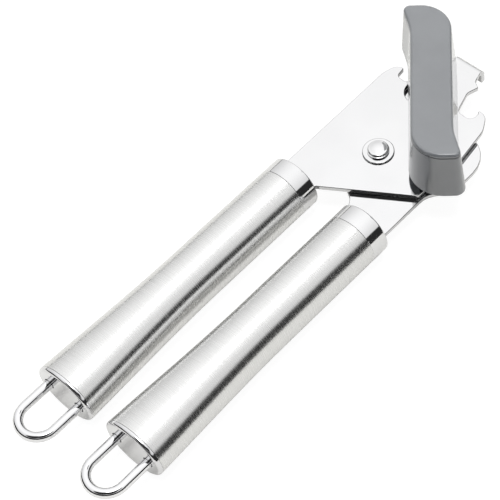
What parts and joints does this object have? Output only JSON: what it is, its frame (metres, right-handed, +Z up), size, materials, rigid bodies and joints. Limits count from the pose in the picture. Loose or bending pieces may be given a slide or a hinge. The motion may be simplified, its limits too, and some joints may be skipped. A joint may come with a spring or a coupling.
{
  "type": "can opener",
  "caption": "Manual can opener with crossed steel levers on a rivet, tubular steel handles with wire hanging loops, a grey turning key, a toothed feed wheel and a cutting wheel.",
  "frame": {"origin": "under the middle of the bounding box, on the surface that the tool lies on", "axes": "+X from the handles towards the nose, +Y towards the handle of the drive lever, +Z up along the rivet and the key's axle"},
  "size_m": [0.2064, 0.0626, 0.0345],
  "materials": {
    "lever_steel": "mirror-polished stainless steel plate, edges blanked",
    "ferrule_steel": "polished stainless steel",
    "tube_steel": "stainless steel brushed round the tube",
    "cap_steel": "polished stainless steel",
    "loop_chrome": "bright drawn stainless wire",
    "rivet_steel": "polished steel",
    "washer_steel": "bright rolled steel",
    "hardened_steel": "ground steel",
    "spring_steel": "tempered spring steel",
    "wheel_steel": "hardened steel, milled teeth",
    "cutter_steel": "hardened steel, ground bevel",
    "bush_bronze": "sintered bronze",
    "block_plastic": "black moulded nylon",
    "key_plastic": "grey moulded plastic, satin gloss"
  },
  "bodies": {
    "drive_half": {"drive_lever": "lever_steel", "drive_handle_ferrule": "ferrule_steel", "drive_handle_tube": "tube_steel", "drive_tang_block": "block_plastic", "drive_tang_pin": "hardened_steel", "drive_end_cap": "cap_steel", "drive_hanging_loop": "loop_chrome", "pivot_rivet": "rivet_steel", "upper_pivot_washer": "washer_steel", "lower_pivot_washer": "washer_steel", "axle_bush": "bush_bronze", "wave_washer": "spring_steel"},
    "cutter_half": {"cutter_lever": "lever_steel", "cutter_handle_ferrule": "ferrule_steel", "cutter_handle_tube": "tube_steel", "cutter_tang_block": "block_plastic", "cutter_tang_pin": "hardened_steel", "cutter_end_cap": "cap_steel", "cutter_hanging_loop": "loop_chrome", "cutter_stud": "hardened_steel", "cutter_spacer": "hardened_steel"},
    "drive_train": {"turning_key": "key_plastic", "drive_axle": "hardened_steel", "feed_wheel": "wheel_steel", "feed_wheel_washer": "washer_steel"},
    "cutter": {"cutter_wheel": "cutter_steel"}
  },
  "joints": [
    {"name": "lever_pivot", "type": "hinge", "parent": "drive_half", "child": "cutter_half", "pos_m": [0.05245, 0.00441, 0.0095], "axis": [0, 0, 1], "range_deg": [0, 36]},
    {"name": "key_spin", "type": "hinge", "parent": "drive_half", "child": "drive_train", "pos_m": [0.07415, -0.0016, 0.0095], "axis": [0, 0, 1], "continuous": true},
    {"name": "cutter_spin", "type": "hinge", "parent": "cutter_half", "child": "cutter", "pos_m": [0.08125, 0.0106, 0.0034], "axis": [0, 0, 1], "continuous": true}
  ]
}
